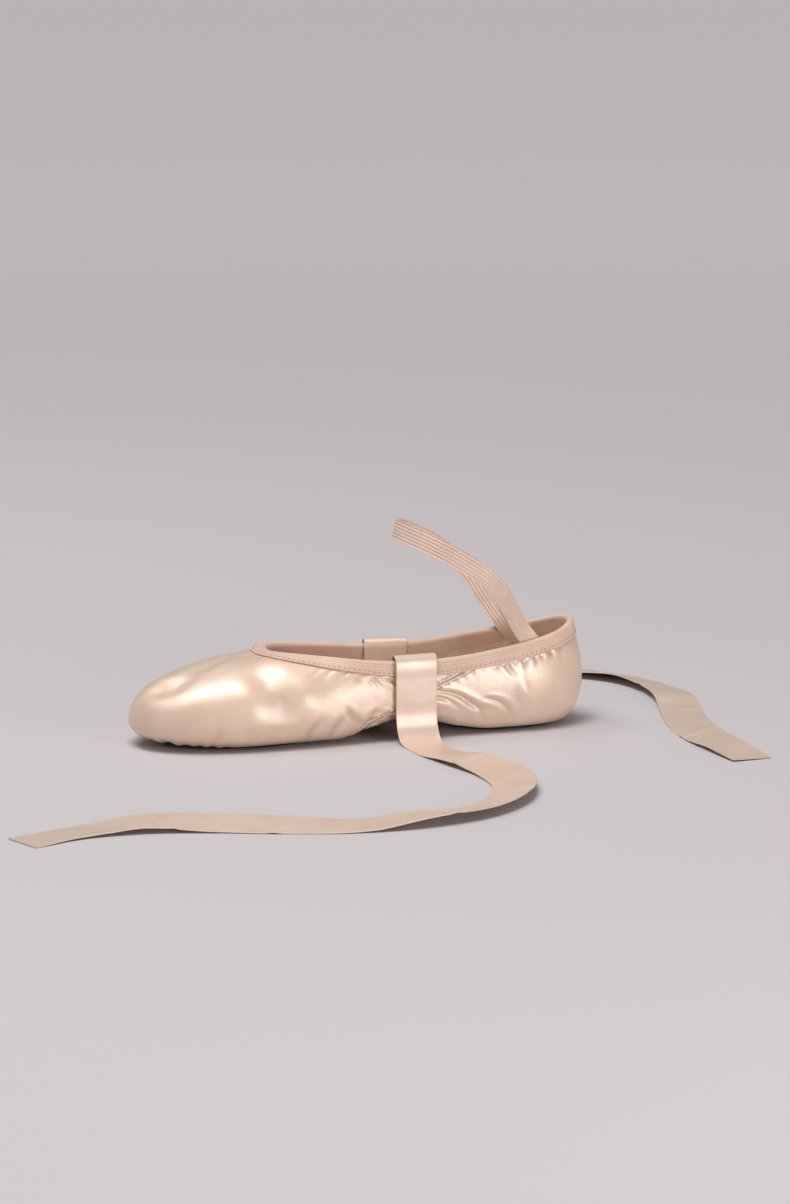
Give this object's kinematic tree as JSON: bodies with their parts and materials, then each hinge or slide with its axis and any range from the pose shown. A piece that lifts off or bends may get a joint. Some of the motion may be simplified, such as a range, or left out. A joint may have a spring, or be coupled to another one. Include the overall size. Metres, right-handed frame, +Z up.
{
  "type": "ballet shoe",
  "caption": "Right split-sole ballet slipper in peach satin, with an elastic collar binding, an ankle elastic, dark suede pads and two satin ribbons lying uncoiled.",
  "frame": {"origin": "on the floor, in the middle of the shoe's outline without its ribbons", "axes": "+X runs from the toe to the heel, -Y is the foot's inner side, +Z is up"},
  "size_m": [0.4038, 0.349, 0.109],
  "materials": {
    "satin": "satin weave, glossy along the thread",
    "elastic": "ribbed elastic, matt",
    "lining": "cotton, matt",
    "suede": "suede nap, matt",
    "ribbon_satin": "satin ribbon with a fine selvedge"
  },
  "bodies": {
    "root": {"upper": "satin", "collar_binding": "elastic", "elastic_strap": "elastic", "insole": "lining", "sole_front": "suede", "sole_heel": "suede", "ribbon_inner": "ribbon_satin", "ribbon_outer": "ribbon_satin"}
  },
  "joints": []
}
